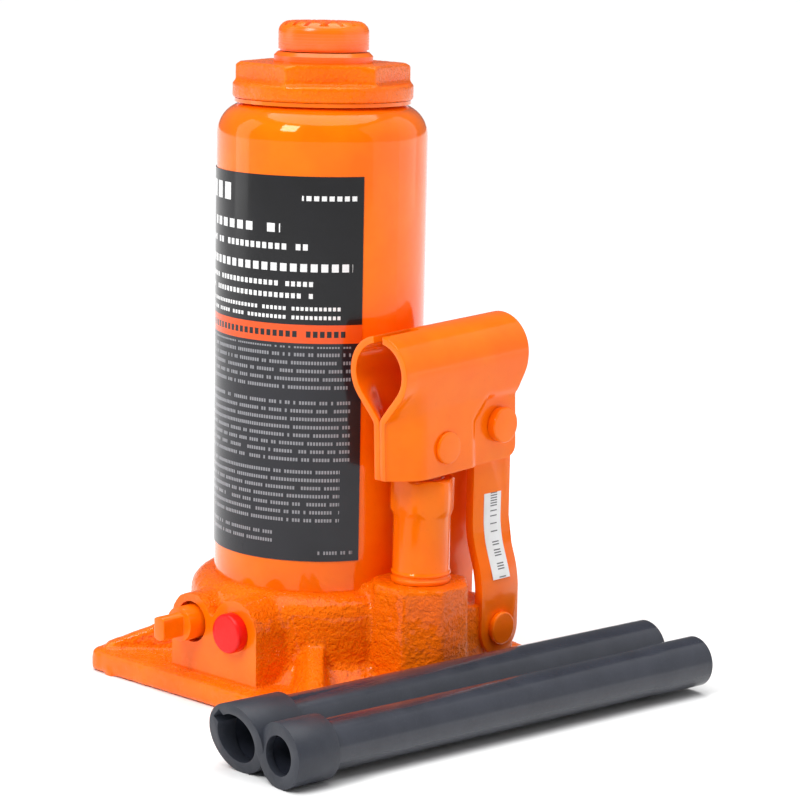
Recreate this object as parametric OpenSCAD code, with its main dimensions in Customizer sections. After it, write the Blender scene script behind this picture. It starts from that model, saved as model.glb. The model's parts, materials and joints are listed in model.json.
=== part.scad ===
// Hydraulic bottle jack with a two-piece pump handle lying beside it.
// Millimetres. +Z is up, Z = 0 is the floor, and the origin is on the ram's axis.
// +X points at the pump, -Y is the operator's side with the two valves.

/* [Base casting] */
// Width of the base plate along X
base_w = 108; // [104:0.5:130]
// Depth of the base plate along Y
base_d = 108; // [104:0.5:130]
// Thickness of the base plate
plate_t = 7.7; // [6:0.1:10]
// Corner radius of the base plate
plate_corner_r = 3.5; // [2:0.5:8]
// Height of the casting's collar round the reservoir
collar_z = 36.3; // [34:0.1:40]
// Radial thickness of the collar outside the reservoir
collar_t = 7.9; // [6:0.1:12]

/* [Reservoir] */
// Outside diameter of the reservoir tube
reservoir_od = 68.2; // [58:0.1:72]
// Wall of the reservoir tube
reservoir_wall = 2.2; // [1.6:0.1:3]
// Height of the reservoir above the collar
reservoir_rise = 154; // [130:1:200]
// Height of the rounded shoulder
shoulder_h = 12.3; // [10:0.1:16]
// Radius of the opening in the shoulder
neck_r = 26.2; // [25.5:0.1:27]

/* [Ram] */
// Diameter of the ram
ram_d = 32; // [26.5:0.1:32.4]
// Bore of the pressure cylinder
cylinder_bore = 36; // [34.5:0.1:37]
// Wall of the pressure cylinder
cylinder_wall = 4; // [3:0.1:4.5]
// Lift of the ram
ram_lift = 125; // [80:1:128]
// How far the closed ram stands out of the top nut
ram_stand = 3.2; // [2:0.1:8]

/* [Extension screw] */
// Outside diameter of the extension screw's thread
screw_d = 20; // [16:0.1:22]
// Length of the thread
screw_len = 92; // [60:1:96]
// Pitch of the thread
screw_pitch = 4; // [3:0.5:5]
// Diameter of the saddle
saddle_d = 29.2; // [26:0.1:32]
// Height of the saddle
saddle_h = 9.5; // [8:0.1:14]

/* [Pump] */
// Distance from the ram's axis to the pump's axis
pump_x = 47; // [46.6:0.1:52]
// Height of the pump boss on the base
pump_boss_z = 40.4; // [39:0.1:44]
// Diameter of the pump cylinder
pump_d = 18.4; // [17:0.1:19]
// Height of the pump cylinder's top
pump_top_z = 74.3; // [70:0.1:74.5]
// Diameter of the pump plunger
plunger_d = 12; // [10:0.1:13]
// Height of the plunger's cross pin with the pump closed
plunger_pin_z = 85; // [84.8:0.1:90]

/* [Linkage] */
// Distance behind the pump of both link pivots
link_y = 26; // [25.5:0.1:30]
// Height of the lower link pivot
link_low_z = 22; // [21:0.1:26]
// Height of the upper link pivot
link_high_z = 89.2; // [88:0.1:92]
// Width of each link plate
link_w = 17.8; // [15:0.1:18.5]
// Thickness of each link plate
link_t = 3.2; // [2.5:0.1:3.6]
// How far each link plate steps outwards
link_step = 4.8; // [4:0.1:6]

/* [Handle socket] */
// Bore of the socket for the handle
socket_bore = 19.6; // [18:0.1:20]
// Sheet thickness of the socket
socket_wall = 2.2; // [1.8:0.1:2.4]
// Length of the socket tube in front of the plunger pin
socket_front = 21.5; // [18:0.5:26]
// Length of the socket tube behind the plunger pin
socket_rear = 39; // [37:0.5:44]
// Height of the socket tube's axis over the plunger pin
socket_rise = 25.5; // [25:0.1:30]
// Tilt of the socket with the pump closed
socket_tilt = 2.5; // [1:0.5:4]

/* [Handle] */
// Outside diameter of the large handle tube
large_tube_d = 19; // [15:0.1:19.4]
// Outside diameter of the small handle tube
small_tube_d = 15.9; // [12.5:0.1:17]
// Wall of both handle tubes
tube_wall = 1.4; // [1.2:0.1:1.8]
// Length of the large handle tube
large_tube_len = 163.5; // [140:0.5:200]
// Length of the small handle tube
small_tube_len = 169; // [140:0.5:210]
// Length of the end cap that keeps the two tubes together
keeper_len = 17; // [15:0.5:26]
// Angle that the handle lies at, from the Y axis
handle_angle = 7.4; // [6.6:0.1:9]

/* [Hidden] */
$fn = 64;

// Fits
running = 0.05;      // radial clearance of a shaft that turns or slides
seat_gap = 0.05;     // radial clearance of a part seated in the base
side_gap = 0.4;      // gap beside a link plate
eps = 0.01;

// Colours
paint = [1.0, 0.42, 0.03];
steel = [0.75, 0.76, 0.78];
rubber = [0.12, 0.12, 0.13];
slate = [0.25, 0.27, 0.31];

// Reservoir and pressure cylinder
reservoir_r = reservoir_od / 2;
reservoir_seat_z = collar_z - 5;
gasket_t = 1.2;
reservoir_low_z = reservoir_seat_z + gasket_t;
reservoir_top_z = collar_z + reservoir_rise;
shoulder_z = reservoir_top_z - shoulder_h;
pit_z = 16;
cylinder_r = cylinder_bore / 2;
cylinder_out_r = cylinder_r + cylinder_wall;
cylinder_low_z = pit_z + gasket_t;
collar_r = reservoir_r + collar_t;
collar_round = collar_t + 0.1;
label_t = 0.25;
label_low_z = 46.1;
label_top_z = reservoir_top_z - 21.1;
label_half_angle = 67.5;

// Top nut
nut_z = reservoir_top_z + gasket_t;
nut_flange_r = 29.3;
nut_flange_h = 5.3;
nut_hex_r = 28.4;
nut_hex_h = 6.4;
nut_hex_turn = 20;
nut_top_z = nut_z + nut_flange_h + nut_hex_h;
nut_skirt_z = nut_z - 9;
cylinder_top_z = nut_z + 2;
wiper_h = 3;
wiper_z = nut_top_z - wiper_h - 1.5;
wiper_r = ram_d / 2 + 2.4;

// Ram, its piston and the extension screw
ram_r = ram_d / 2;
ram_top_z = nut_top_z + ram_stand;
ram_low_z = 24;
piston_r = cylinder_r - running;
bush_h = 18;
bush_top_z = cylinder_top_z - ram_lift - 3;
stud_r = 8;
stud_z = ram_low_z + 16;
nut_h = 6;
washer_h = 2;
screw_r = screw_d / 2;
screw_root_r = screw_r - 1.2;
saddle_z = ram_top_z + 0.3;
screw_low_z = saddle_z - screw_len;
ring_h = 2;
ring_z = screw_low_z + 2.5;
ring_r = screw_r + 1.45;
ram_thread_h = 20;
ram_bore_r = ring_r + running;
ram_bore_z = screw_low_z - 3;
screw_groove_r = screw_r - 1.6;
thread_low_z = ring_z + ring_h + 1.5;
thread_turns = floor((saddle_z - 4 - thread_low_z) / screw_pitch);

// Pump
pump_r = pump_d / 2;
pump_spigot_r = pump_r - 1.4;
pump_pit_z = 20.8;
pump_low_z = pump_pit_z + gasket_t;
pump_bore_r = plunger_d / 2 + running;
pump_hex_r = 10.97;
pump_hex_h = 10;
pump_chamfer_h = 2.5;
pump_boss_flat = 15;
plunger_low_z = pump_low_z + 12;
eye_r = 8.2;
pin_slack = 1.1;     // open pivot of the linkage: play of the plunger pin along Y
pin_rise_slack = 0.35;

// Linkage and socket
socket_r = socket_bore / 2;
socket_out_r = socket_r + socket_wall;
wall_out = 10.2;
wall_in = wall_out - socket_wall;
eye_half = wall_in - 2 * side_gap;
wall_low = 10;
pinch = 1.1;
link_out = pinch_out() - socket_wall - 0.2;
link_in = link_out - link_t;
link_low_in = link_in + link_step;
lug_half = link_low_in - side_gap;
lug_r = 9;
step_z0 = 39;
step_z1 = 53;
plunger_pin_r = 4.5;
link_pin_r = 4.8;
wall_rear = 35.5;
high_dy = link_y * cos(socket_tilt) + (link_high_z - plunger_pin_z) * sin(socket_tilt);
high_dz = (link_high_z - plunger_pin_z) * cos(socket_tilt) - link_y * sin(socket_tilt);

// Valves in the front bosses
release_x = -8;
release_z = 24.6;
relief_x = 12;
relief_z = 25;
boss_y = -49;
release_stem_r = 5.6;
release_mouth_r = 6.7;
release_thread_r = 5;
release_boss_r = 8.6;
relief_boss_r = 9.6;
small_ball_r = 2.3;
ball_r = 3;
drill_r = 1.5;
cross_r = 1.2;
cap_r = 6.35;
cap_shank_r = 4.4;
cap_shank_len = 1.5;
relief_seat = 21;
relief_ball_y = boss_y + relief_seat - small_ball_r;
cone_len = 3;
cone_r = 2;
spring_wire_r = 0.55;
spring_r = 3;
spring_len = 6;
spring_y = relief_ball_y - small_ball_r - cone_len - spring_len - spring_wire_r;
adjuster_len = 5;
adjuster_key_r = 2.3;
filler_z = reservoir_top_z - 36;
filler_angle = 135;
filler_r = 4.5;

// Handle on the floor
keeper_wall = 1.4;
keeper_small_wall = 1.9;
tube_gap = 0.65;
large_tube_r = large_tube_d / 2;
small_tube_r = small_tube_d / 2;
large_collar_r = large_tube_r + running + keeper_wall;
small_collar_r = small_tube_r + running + keeper_small_wall;
tube_spacing = large_tube_r + small_tube_r + tube_gap;
small_x = sqrt(pow(tube_spacing, 2) - pow(large_collar_r - small_collar_r, 2));
handle_gap = 0.75;   // between the large tube and what it lies beside
handle_y = -base_d / 2 - 40.2;
handle_at = [max(handle_beside([pump_x + pump_boss_flat, -pump_boss_flat * tan(22.5)]),
                 handle_beside([base_w / 2, -base_d / 2])), handle_y];
keeper_lip_t = 2.5;
keeper_lip_in = 0.5;
keeper_notch_w = 4;
keeper_slant = 12;    // lean of the large collar's open face
keeper_turn = 8;
keeper_slant_h = large_collar_r * norm([tan(keeper_slant), tan(keeper_turn)]);
keeper_small_z = 2;   // the small collar starts this much further back
keeper_step = 0.2;    // the large collar reaches back this much further
large_seat_z = keeper_lip_t + keeper_slant_h;
small_seat_z = keeper_lip_t + keeper_small_z;
flare_len = 26;
flare_out = 0.3;

function pinch_out() = wall_out - pinch;

// Where along X the handle must start for its large tube to pass clear of a corner
function handle_beside(corner) = corner[0] + (large_tube_r + handle_gap
    - (corner[1] - handle_y) * sin(handle_angle)) / cos(handle_angle);

// ---------- shared shapes ----------

module ring(outer, inner, h) {
    difference() {
        cylinder(r = outer, h = h);
        translate([0, 0, -1]) cylinder(r = inner, h = h + 2);
    }
}

module along_y(x, y0, z, r, len) {
    translate([x, y0, z]) rotate([-90, 0, 0]) cylinder(r = r, h = len);
}

module along_x(x0, y, z, r, len) {
    translate([x0, y, z]) rotate([0, 90, 0]) cylinder(r = r, h = len);
}

module rounded_plate(w, d, r, h) {
    linear_extrude(height = h) union() {
        square([w - 2 * r, d], center = true);
        square([w, d - 2 * r], center = true);
        for (x = [-1, 1], y = [-1, 1])
            translate([x * (w / 2 - r), y * (d / 2 - r)]) circle(r = r);
    }
}

module at_pump() {
    translate([pump_x, 0, 0]) children();
}

module at_socket() {
    translate([pump_x, 0, plunger_pin_z]) rotate([socket_tilt, 0, 0]) children();
}

// Frame of the handle: +Z runs along the tubes from the operator's end
module at_handle() {
    translate([handle_at[0], handle_at[1], 0]) rotate([0, 0, -handle_angle])
        rotate([-90, 0, 0]) children();
}

// ---------- base casting ----------

// A block turned to face a corner, standing on the floor
module corner_block(at, w, h) {
    translate([at[0], at[1], h / 2]) rotate([0, 0, 45]) cube([w, w, h], center = true);
}

module corner_rib(sx, sy) {
    tip = [sx * (base_w / 2 - 5), sy * (base_d / 2 - 5)];
    foot = [sx * (base_w / 2 - 13), sy * (base_d / 2 - 13)];
    root = [sx * 25, sy * 25];
    hull() {
        corner_block(root, 24, 8);
        corner_block(root, 6, 23);
        corner_block(tip, 3, plate_t + 0.8);
        corner_block(foot, 13, plate_t - 0.1);
    }
}

module valve_boss(x, z, r) {
    translate([x, -25, 0]) rotate([90, 0, 0]) linear_extrude(height = -boss_y - 25) union() {
        translate([0, z]) circle(r = r);
        translate([-r, 0]) square([2 * r, z]);
    }
}

module tower() {
    rotate_extrude() union() {
        square([collar_r - collar_round, collar_z]);
        square([collar_r, collar_z - collar_round]);
        translate([collar_r - collar_round, collar_z - collar_round]) circle(r = collar_round);
        square([collar_r + 3.5, plate_t + 2.5]);
    }
}

module pump_boss() {
    at_pump() {
        linear_extrude(height = pump_boss_z) union() {
            rotate(22.5) circle(r = pump_boss_flat / cos(22.5), $fn = 8);
            translate([-18, -12]) square([18, 24]);
        }
    }
}

module link_lug() {
    at_pump() translate([-lug_half, 0, 0]) rotate([90, 0, 90])
        linear_extrude(height = 2 * lug_half) union() {
            translate([link_y, link_low_z]) circle(r = lug_r);
            translate([0, 0]) square([link_y + lug_r, link_low_z]);
            translate([0, 0]) square([link_y, link_low_z + lug_r]);
        }
}

module base_holes() {
    // pits for the pressure cylinder and the reservoir
    rotate([0, 0, 100]) {
        translate([0, 0, pit_z]) cylinder(r = cylinder_out_r + seat_gap, h = 60);
        translate([0, 0, reservoir_seat_z]) cylinder(r = reservoir_r + seat_gap, h = 60);
    }
    // pump thread, ball pocket and suction seat
    at_pump() {
        translate([0, 0, pump_pit_z]) cylinder(r = pump_spigot_r + seat_gap, h = 40);
        translate([0, 0, 13.5]) cylinder(r = ball_r + 0.5, h = 10);
        translate([0, 0, 8]) cylinder(r = drill_r, h = 10);
    }
    // suction way, from the reservoir's floor to under the pump
    translate([26, -12, 8]) cylinder(r = drill_r, h = 32);
    translate([26, -12, 10]) rotate([0, 90, atan2(12, pump_x - 26)])
        cylinder(r = cross_r, h = norm([pump_x - 26, 12]));
    // delivery way, from the pump to the delivery ball under the ram
    along_x(pump_x - 9, 0, 18.4, cross_r, 9);
    translate([pump_x - 9, 0, 4]) cylinder(r = drill_r, h = 16.4);
    along_x(10, 0, 6, cross_r, pump_x - 19);
    translate([10, 0, 4]) cylinder(r = drill_r, h = 10);
    translate([10, 0, 9.5]) cylinder(r = ball_r + 0.5, h = 10);
    // release valve, its ball pocket and its way down to the ram
    along_y(release_x, boss_y - 1, release_z, release_mouth_r, 5);
    along_y(release_x, boss_y, release_z, release_stem_r + running, 10);
    along_y(release_x, boss_y, release_z, release_thread_r + running, 18);
    along_y(release_x, boss_y, release_z, small_ball_r + running, 24);
    along_y(release_x, boss_y, release_z, cross_r / 2, 25);
    translate([release_x, boss_y + 25, 10.5]) cylinder(r = drill_r / 2, h = release_z - 9);
    along_y(release_x, boss_y + 25, 12, cross_r / 2, 12);
    translate([release_x, boss_y + 37, 10.5]) cylinder(r = drill_r / 2, h = 10);
    translate([release_x, boss_y + 20, release_z]) cylinder(r = drill_r, h = 20);
    // relief valve
    along_y(relief_x, boss_y - 1, relief_z, cap_shank_r + running, relief_seat + 1);
    along_y(relief_x, boss_y, relief_z, cross_r / 2, 25);
    translate([relief_x, boss_y + 25, 10.5]) cylinder(r = drill_r / 2, h = relief_z - 9);
    along_y(relief_x, boss_y + 25, 12, cross_r / 2, 12);
    translate([relief_x, boss_y + 37, 10.5]) cylinder(r = drill_r / 2, h = 10);
    // lower link pin, and room for the inner plate and the pin's head beside the tower
    along_x(pump_x - 30, link_y, link_low_z, link_pin_r + running, 60);
    translate([pump_x - link_low_in - link_t - 0.6, link_y - link_w / 2 - 1.2, plate_t + 2.5])
        cube([link_t + 1, link_w + 3, 40]);
    along_x(pump_x - link_low_in - link_t - 3, link_y, link_low_z, link_pin_r + 1.9, link_t + 3);
    translate([pump_x - link_low_in - link_t - 3, link_y - link_pin_r - 1.9, link_low_z])
        cube([link_t + 3, 2 * link_pin_r + 3.8, 30]);
}

module base() {
    color(paint) difference() {
        union() {
            rounded_plate(base_w, base_d, plate_corner_r, plate_t);
            tower();
            for (sx = [-1, 1], sy = [-1, 1]) corner_rib(sx, sy);
            valve_boss(release_x, release_z, release_boss_r);
            valve_boss(relief_x, relief_z, relief_boss_r);
            pump_boss();
            link_lug();
        }
        base_holes();
    }
}

// ---------- reservoir ----------

module reservoir() {
    color(paint) difference() {
        rotate_extrude() reservoir_section();
        rotate([0, 0, filler_angle]) along_x(0, 0, filler_z, filler_r, reservoir_r + 5);
    }
}

module reservoir_section() {
    inner_r = reservoir_r - reservoir_wall;
    outer_round = shoulder_h - 2;
    difference() {
        union() {
            translate([0, reservoir_low_z]) square([reservoir_r, shoulder_z - reservoir_low_z + 2]);
            square_top = reservoir_r - outer_round;
            translate([0, shoulder_z]) square([square_top, shoulder_h]);
            translate([square_top, shoulder_z + 2]) intersection() {
                circle(r = outer_round);
                square([outer_round, outer_round]);
            }
        }
        translate([0, reservoir_low_z - 1]) square([inner_r, shoulder_z - reservoir_low_z + 2]);
        translate([0, shoulder_z]) square([neck_r, 40]);
        inner_round = inner_r - neck_r;
        translate([neck_r, shoulder_z + 1]) circle(r = inner_round);
    }
}

module reservoir_label() {
    color([0.07, 0.07, 0.08]) translate([0, 0, label_low_z])
        rotate([0, 0, -90 - label_half_angle])
            rotate_extrude(angle = 2 * label_half_angle)
                translate([reservoir_r, 0]) square([label_t, label_top_z - label_low_z]);
}

module lower_gasket() {
    color(rubber) translate([0, 0, reservoir_seat_z])
        ring(reservoir_r, reservoir_r - 5, gasket_t);
}

module upper_gasket() {
    color(rubber) translate([0, 0, reservoir_top_z])
        ring(neck_r + 2.3, neck_r - 0.1, gasket_t);
}

module filler_plug() {
    color(rubber) rotate([0, 0, filler_angle]) {
        along_x(reservoir_r - reservoir_wall - 3, 0, filler_z, filler_r, reservoir_wall + 4);
        difference() {
            along_x(reservoir_r - 0.2, 0, filler_z, filler_r + 2.2, 3);
            along_x(reservoir_r + 2, 0, filler_z, filler_r - 1.5, 3);
            cylinder(r = reservoir_r, h = reservoir_top_z);
        }
        along_x(reservoir_r - reservoir_wall - 3, 0, filler_z, filler_r + 0.8, 1.6);
    }
}

// ---------- pressure cylinder and top nut ----------

module pressure_cylinder() {
    color(steel) translate([0, 0, cylinder_low_z])
        ring(cylinder_out_r, cylinder_r, cylinder_top_z - cylinder_low_z);
}

module cylinder_gasket() {
    color([0.72, 0.42, 0.25]) translate([0, 0, pit_z])
        ring(cylinder_out_r, cylinder_r, gasket_t);
}

module top_nut() {
    hex_z = nut_z + nut_flange_h;
    color(paint) difference() {
        union() {
            translate([0, 0, nut_skirt_z]) cylinder(r = neck_r - 0.15, h = nut_z - nut_skirt_z + 1);
            translate([0, 0, nut_z]) rotate_extrude() union() {
                square([nut_flange_r - 1.5, nut_flange_h]);
                translate([0, 1.5]) square([nut_flange_r, nut_flange_h - 3]);
                for (z = [1.5, nut_flange_h - 1.5])
                    translate([nut_flange_r - 1.5, z]) circle(r = 1.5);
            }
            intersection() {
                translate([0, 0, hex_z - 1]) rotate([0, 0, nut_hex_turn])
                    cylinder(r = nut_hex_r, h = nut_hex_h + 1, $fn = 6);
                rotate_extrude() polygon([
                    [0, hex_z - 1], [nut_hex_r + 1, hex_z - 1],
                    [nut_hex_r + 1, nut_top_z - 3.2], [nut_hex_r - 4.2, nut_top_z], [0, nut_top_z]
                ]);
            }
        }
        translate([0, 0, nut_skirt_z - 1])
            cylinder(r = cylinder_out_r + seat_gap, h = cylinder_top_z - nut_skirt_z + 1);
        translate([0, 0, nut_skirt_z]) cylinder(r = ram_r + running, h = 60);
        translate([0, 0, wiper_z]) cylinder(r = wiper_r + seat_gap, h = wiper_h);
        translate([0, 0, nut_top_z - 1.5]) cylinder(r1 = ram_r + 0.6, r2 = ram_r + 1.6, h = 2);
    }
}

module ram_wiper() {
    color(rubber) translate([0, 0, wiper_z]) ring(wiper_r, ram_r + running, wiper_h);
}

// ---------- ram ----------

module ram() {
    color(steel) difference() {
        rotate_extrude() polygon([
            [0, ram_low_z], [stud_r, ram_low_z], [stud_r, stud_z], [ram_r, stud_z],
            [ram_r, ram_top_z - 1.2], [ram_r - 1.2, ram_top_z], [0, ram_top_z]
        ]);
        translate([0, 0, ram_bore_z])
            cylinder(r = ram_bore_r, h = ram_top_z - ram_thread_h - ram_bore_z);
        translate([0, 0, ram_bore_z]) cylinder(r = screw_r + running, h = ram_top_z - ram_bore_z + 1);
    }
}

module piston_bush() {
    color([0.72, 0.55, 0.3]) translate([0, 0, bush_top_z - bush_h]) ring(piston_r, ram_r, bush_h);
}

module piston_cup() {
    lip = 2.2;
    cup_z = ram_low_z + nut_h + washer_h;
    cup_h = stud_z - cup_z;
    color(rubber) translate([0, 0, cup_z]) difference() {
        cylinder(r = piston_r, h = cup_h);
        translate([0, 0, -1]) cylinder(r = stud_r, h = cup_h + 2);
        translate([0, 0, -eps]) ring(piston_r - lip, stud_r + lip, cup_h - lip);
    }
}

module cup_washer() {
    color(steel) translate([0, 0, ram_low_z + nut_h]) ring(piston_r - 0.6, stud_r, washer_h);
}

module piston_nut() {
    color(steel) translate([0, 0, ram_low_z]) difference() {
        cylinder(r = 13.5, h = nut_h, $fn = 6);
        translate([0, 0, -1]) cylinder(r = stud_r, h = nut_h + 2);
    }
}

// ---------- extension screw ----------

module extension_screw() {
    groove = 1.5;
    groove_pitch = 4.6;
    groove_depth = 1.3;
    shaft = concat(
        [[0, screw_low_z], [screw_r - 1, screw_low_z], [screw_r, screw_low_z + 1],
         [screw_r, ring_z - 0.1], [screw_groove_r, ring_z - 0.1],
         [screw_groove_r, ring_z + ring_h + 0.1], [screw_root_r, ring_z + ring_h + 0.1]],
        [for (i = [0 : thread_turns - 1], p = thread_tooth(thread_low_z + i * screw_pitch)) p],
        [[screw_root_r, saddle_z], [0, saddle_z]]
    );
    color(paint) difference() {
        union() {
            rotate_extrude() polygon(shaft);
            rotate_extrude() saddle_section();
        }
        for (a = [0, 90], i = [-2 : 2])
            rotate([0, 0, a])
                translate([-saddle_d, i * groove_pitch - groove / 2, saddle_z + saddle_h - groove_depth])
                    cube([2 * saddle_d, groove, 5]);
    }
}

function thread_tooth(z) = [
    [screw_root_r, z], [screw_r, z + screw_pitch * 0.3],
    [screw_r, z + screw_pitch * 0.6], [screw_root_r, z + screw_pitch * 0.9]
];

module saddle_section() {
    edge = 3.6;
    r = saddle_d / 2;
    translate([0, saddle_z]) union() {
        translate([0, 0.6]) square([r, saddle_h - edge - 0.6]);
        square([r - 0.6, saddle_h - edge]);
        square([r - edge, saddle_h]);
        translate([r - edge, saddle_h - edge]) circle(r = edge);
    }
}

module screw_stop_ring() {
    color(steel) translate([0, 0, ring_z]) difference() {
        ring(ring_r, screw_groove_r + running, ring_h);
        translate([0, -1, -1]) cube([ring_r + 2, 2, ring_h + 2]);
    }
}

// ---------- pump ----------

module pump_cylinder() {
    hex_z = pump_top_z - pump_hex_h;
    color(paint) at_pump() difference() {
        union() {
            translate([0, 0, pump_low_z]) cylinder(r = pump_spigot_r, h = pump_boss_z - pump_low_z + 1);
            rotate_extrude() polygon([
                [0, pump_boss_z], [pump_r + 0.5, pump_boss_z], [pump_r + 0.5, pump_boss_z + 1.2],
                [pump_r, pump_boss_z + 1.6], [pump_r, pump_boss_z + 2.4],
                [pump_r + 0.4, pump_boss_z + 2.7], [pump_r + 0.4, pump_boss_z + 3.3],
                [pump_r, pump_boss_z + 3.8], [pump_r, hex_z], [0, hex_z]
            ]);
            intersection() {
                translate([0, 0, hex_z - pump_chamfer_h])
                    cylinder(r = pump_hex_r, h = pump_hex_h + pump_chamfer_h, $fn = 6);
                rotate_extrude() polygon([
                    [0, hex_z - pump_chamfer_h], [pump_r, hex_z - pump_chamfer_h],
                    [pump_hex_r - 0.6, hex_z], [pump_hex_r - 0.6, pump_top_z - 0.8],
                    [pump_hex_r - 1.6, pump_top_z], [0, pump_top_z]
                ]);
            }
        }
        cylinder(r = pump_bore_r, h = pump_top_z + 1);
        translate([0, 0, pump_top_z - 9]) cylinder(r = plunger_d / 2 + 1.6, h = 5);
    }
}

module pump_washer() {
    color([0.72, 0.42, 0.25]) at_pump() translate([0, 0, pump_pit_z])
        ring(pump_spigot_r, pump_bore_r, gasket_t);
}

module pump_plunger() {
    groove_z = plunger_low_z + 4;
    color(steel) at_pump() difference() {
        union() {
            translate([0, 0, plunger_low_z]) cylinder(d = plunger_d, h = plunger_pin_z - plunger_low_z);
            translate([-eye_half, 0, plunger_pin_z]) rotate([0, 90, 0])
                cylinder(r = eye_r, h = 2 * eye_half);
        }
        translate([0, 0, groove_z]) ring(plunger_d, plunger_d / 2 - 1.6, 5);
        for (y = [-pin_slack, pin_slack])
            along_x(-10, y, plunger_pin_z, plunger_pin_r + pin_rise_slack, 20);
        translate([-10, -pin_slack, plunger_pin_z - plunger_pin_r - pin_rise_slack])
            cube([20, 2 * pin_slack, 2 * (plunger_pin_r + pin_rise_slack)]);
    }
}

module plunger_seal() {
    color(rubber) at_pump() translate([0, 0, plunger_low_z + 4])
        ring(plunger_d / 2, plunger_d / 2 - 1.6, 3.2);
}

module plunger_seal_backup() {
    color([0.9, 0.9, 0.86]) at_pump() translate([0, 0, plunger_low_z + 7.2])
        ring(plunger_d / 2, plunger_d / 2 - 1.6, 1.8);
}

// ---------- handle socket and links ----------

// Plan outline of the socket's lower walls, with its pinched nose at the front
module socket_plan(half, nose) {
    bend = 7;
    polygon([
        [0, -socket_front + nose], [nose_half(nose), -socket_front + nose],
        [half - 1.6, -socket_front + bend + 3], [half, -socket_front + bend + 7],
        [half, socket_rear], [-half, socket_rear], [-half, -socket_front + bend + 7],
        [-half + 1.6, -socket_front + bend + 3], [-nose_half(nose), -socket_front + nose]
    ]);
}

function nose_half(nose) = nose > 0 ? 0.3 : socket_wall;

module handle_socket() {
    color(paint) at_socket() difference() {
        union() {
            along_y(0, -socket_front, socket_rise, socket_out_r, socket_front + socket_rear);
            translate([0, 0, -wall_low]) linear_extrude(height = wall_low + socket_rise)
                socket_plan(wall_out, 0);
        }
        along_y(0, -socket_front - 1, socket_rise, socket_r, socket_front + socket_rear + 2);
        translate([0, 0, -wall_low - 1]) linear_extrude(height = wall_low + socket_rise + 1)
            socket_plan(wall_in, 1.2);
        // the back of the walls is pressed inwards round the upper link pin
        for (s = [-1, 1]) translate([s * (wall_out + 5 - pinch), 0, 0]) {
            translate([-5, 12, -wall_low - 1]) cube([10, 40, wall_low + 1 + high_dz]);
            translate([-5, 20, 0]) cube([10, 40, 13]);
            translate([-5, 20, 5]) rotate([0, 90, 0]) cylinder(r = 8, h = 10);
        }
        // rear ends of the walls, and the slanted end of the tube
        translate([-20, wall_rear, -wall_low - 1])
            cube([40, 20, wall_low + 1 + socket_rise - socket_out_r * 0.55]);
        translate([0, socket_rear, socket_rise + 1]) rotate([22, 0, 0])
            translate([-20, 0, -2]) cube([40, 20, 40]);
        // slit along the top of the mouth
        translate([-1.9, -socket_front - 1, socket_rise]) cube([3.8, 18, 20]);
        translate([0, -socket_front + 17, socket_rise]) cylinder(r = 1.9, h = 20);
        // pin holes
        along_x(-20, 0, 0, plunger_pin_r + running, 40);
        along_x(-20, high_dy, high_dz, link_pin_r + running, 40);
    }
    // inner skin of the pressed-in back of the walls
    color(paint) at_socket() difference() {
        for (s = [-1, 1]) translate([s * (pinch_out() - socket_wall / 2), 0, 0]) {
            translate([-socket_wall / 2, 12, -wall_low])
                cube([socket_wall, wall_rear - 12, wall_low + high_dz]);
            translate([-socket_wall / 2, 20, 0]) cube([socket_wall, wall_rear - 20, 13]);
            translate([-socket_wall / 2, 20, 5]) rotate([0, 90, 0]) cylinder(r = 8, h = socket_wall);
        }
        along_x(-20, high_dy, high_dz, link_pin_r + running, 40);
        translate([-20, wall_rear - 6, -wall_low]) difference() {
            translate([0, 0, -1]) cube([40, 8, 7]);
            translate([-1, 0, 6]) rotate([0, 90, 0]) cylinder(r = 6, h = 42);
        }
    }
}

module rivet(half, r, head_r, head_out) {
    along_x(-half - head_out, 0, 0, r, 2 * (half + head_out));
    for (s = [-1, 1]) rotate([0, 0, s < 0 ? 180 : 0]) translate([half, 0, 0]) rotate([0, 90, 0])
        rotate_extrude() union() {
            square([head_r - 0.6, head_out]);
            square([head_r, head_out - 0.6]);
            translate([head_r - 0.6, head_out - 0.6]) circle(r = 0.6);
        }
}

module plunger_pin() {
    color(paint) translate([pump_x, 0, plunger_pin_z])
        rivet(wall_out, plunger_pin_r, 5.2, 1.3);
}

module link_upper_pin() {
    color(paint) translate([pump_x, link_y, link_high_z])
        rivet(pinch_out() + 0.1, link_pin_r, 5.8, 3);
}

module link_lower_pin() {
    color(paint) translate([pump_x, link_y, link_low_z])
        rivet(link_low_in + link_t, link_pin_r, 5.4, 1.9);
}

// Edge outline of a link plate: its inner face, stepped outwards, and its thickness
function link_edge(x_in, x_low, z0, z1) = [
    [x_low, z0], [x_low, step_z0], [x_in, step_z1], [x_in, z1]
];

module link_sheet(x0, t, z0, z1) {
    inner = link_edge(x0, x0 + link_step, z0, z1);
    outer = link_edge(x0 + t, x0 + t + link_step, z0, z1);
    polygon(concat(inner, [for (i = [3 : -1 : 0]) outer[i]]));
}

module link_plate(side) {
    r = link_w / 2;
    color(paint) translate([pump_x, link_y, 0]) mirror([side < 0 ? 1 : 0, 0, 0]) difference() {
        intersection() {
            translate([0, r, 0]) rotate([90, 0, 0]) linear_extrude(height = link_w)
                link_sheet(link_in, link_t, link_low_z - r, link_high_z + r);
            rotate([90, 0, 90]) linear_extrude(height = 40) union() {
                translate([0, link_low_z]) circle(r = r);
                translate([0, link_high_z]) circle(r = r);
                translate([-r, link_low_z]) square([link_w, link_high_z - link_low_z]);
            }
        }
        along_x(0, 0, link_low_z, link_pin_r, 40);
        along_x(0, 0, link_high_z, link_pin_r, 40);
    }
}

module link_plate_outer() { link_plate(1); }
module link_plate_inner() { link_plate(-1); }

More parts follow.
